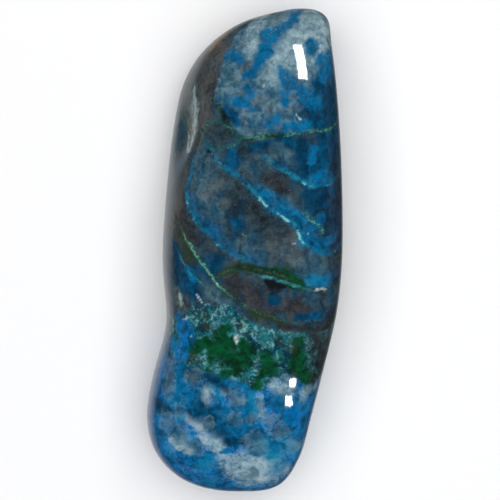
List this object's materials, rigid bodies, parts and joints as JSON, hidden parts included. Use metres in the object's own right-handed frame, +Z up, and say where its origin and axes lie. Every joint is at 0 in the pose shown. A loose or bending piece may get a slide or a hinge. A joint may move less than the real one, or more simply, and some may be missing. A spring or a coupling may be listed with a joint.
{
  "type": "chrysocolla specimen",
  "caption": "Polished freeform stone of blue and green chrysocolla veined through smoky quartz, waisted near one end, lying on its ground flat back.",
  "frame": {"origin": "middle of the stone's footprint box, on the surface that it lies on", "axes": "+X across the stone, +Y along its length towards the broad head, +Z up out of the polished front"},
  "size_m": [0.0138, 0.034, 0.01],
  "materials": {
    "polished_stone": "high natural polish over blue, green, grey and pale clouded stone"
  },
  "bodies": {
    "root": {"stone": "polished_stone"}
  },
  "joints": []
}
